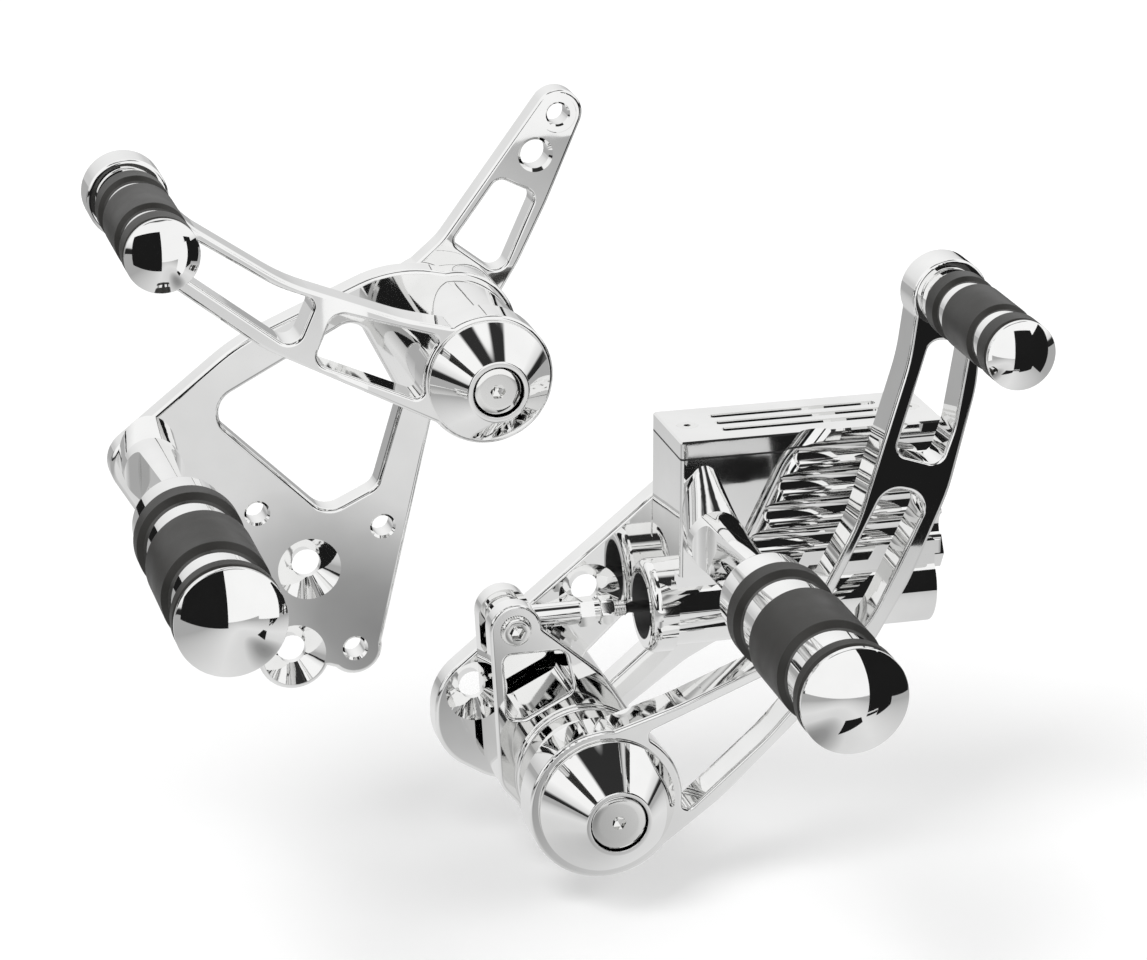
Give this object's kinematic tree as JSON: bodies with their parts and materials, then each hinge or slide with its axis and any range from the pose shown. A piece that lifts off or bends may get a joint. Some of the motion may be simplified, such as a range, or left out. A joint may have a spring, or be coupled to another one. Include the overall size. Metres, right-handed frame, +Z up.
{
  "type": "motorcycle forward controls",
  "caption": "Pair of polished foot control units: a gear shift lever and a brake pedal with master cylinder, each on a bracket with a rubber banded foot peg.",
  "frame": {"origin": "centre of the brake bracket's lower mounting hole, on the brackets' back plane", "axes": "+X towards the brake pedal's toe peg, -Y outboard along the pivots, +Z up"},
  "size_m": [0.3272, 0.2558, 0.2859],
  "materials": {
    "polished_chrome": "mirror polished",
    "grip_rubber": "matte moulded",
    "plated_fasteners": "plated",
    "ground_steel": "ground",
    "bronze": "machined",
    "seal_rubber": "smooth",
    "anodised_piston": "anodised"
  },
  "bodies": {
    "root": {"shift_bracket": "polished_chrome", "shift_barrel": "polished_chrome", "shift_pivot_bushings": "bronze", "shift_peg_shank": "polished_chrome", "shift_peg_core": "polished_chrome", "shift_peg_narrow_rubbers": "grip_rubber", "shift_peg_wide_rubber": "grip_rubber", "shift_peg_end_cap": "polished_chrome", "shift_peg_bolt": "plated_fasteners", "brake_bracket": "polished_chrome", "brake_pivot_shaft": "ground_steel", "brake_cap": "polished_chrome", "brake_cap_screw": "plated_fasteners", "brake_peg_shank": "polished_chrome", "brake_peg_core": "polished_chrome", "brake_peg_narrow_rubbers": "grip_rubber", "brake_peg_wide_rubber": "grip_rubber", "brake_peg_end_cap": "polished_chrome", "brake_peg_stud": "plated_fasteners", "master_cylinder_body": "polished_chrome", "reservoir_cover": "polished_chrome", "cover_gasket": "seal_rubber", "cover_screws": "plated_fasteners", "cylinder_mounting_screws": "plated_fasteners", "outlet_plug": "polished_chrome", "piston_stop_ring": "ground_steel", "return_spring": "ground_steel"},
    "shift_lever": {"shift_lever": "polished_chrome", "shift_pivot_shaft": "ground_steel", "shift_cap": "polished_chrome", "shift_cap_screw": "plated_fasteners", "inner_shift_arm": "polished_chrome", "inner_arm_washer": "polished_chrome", "inner_arm_screw": "plated_fasteners", "shift_toe_peg_core": "polished_chrome", "shift_toe_peg_rubbers": "grip_rubber", "shift_toe_peg_end_cap": "polished_chrome", "shift_toe_peg_bolt": "plated_fasteners"},
    "brake_pedal": {"brake_pedal": "polished_chrome", "brake_barrel": "polished_chrome", "brake_hub_dowels": "plated_fasteners", "inner_brake_lever": "polished_chrome", "brake_pivot_bushings": "bronze", "rod_end_screw": "plated_fasteners", "brake_toe_peg_core": "polished_chrome", "brake_toe_peg_rubbers": "grip_rubber", "brake_toe_peg_end_cap": "polished_chrome", "brake_toe_peg_bolt": "plated_fasteners"},
    "push_rod": {"rod_end": "polished_chrome", "push_rod": "polished_chrome", "push_rod_jam_nut": "polished_chrome"},
    "piston": {"piston": "anodised_piston", "piston_seals": "seal_rubber"}
  },
  "joints": [
    {"name": "shift_pivot", "type": "hinge", "parent": "root", "child": "shift_lever", "pos_m": [-0.0078, 0, 0.143], "axis": [0, 1, 0], "range_deg": [-12, 12]},
    {"name": "brake_pivot", "type": "hinge", "parent": "root", "child": "brake_pedal", "pos_m": [0.0337, 0, -0.0235], "axis": [0, 1, 0], "range_deg": [0, 10], "stiffness_Nm_per_rad": 8, "springref_deg": -20.05},
    {"name": "push_rod_pin", "type": "hinge", "parent": "brake_pedal", "child": "push_rod", "pos_m": [0.0077, -0.0285, 0.036], "axis": [0, 1, 0], "range_deg": [-8, 0.5]},
    {"name": "piston_slide", "type": "slide", "parent": "root", "child": "piston", "axis": [1, 0, 0], "range_m": [0, 0.0112], "deforming": ["return_spring"]}
  ],
  "couplings": [
    {"joint": "push_rod_pin", "follows": "brake_pivot", "ratio": -0.75},
    {"joint": "piston_slide", "follows": "brake_pivot", "m_per_rad": 0.061}
  ]
}
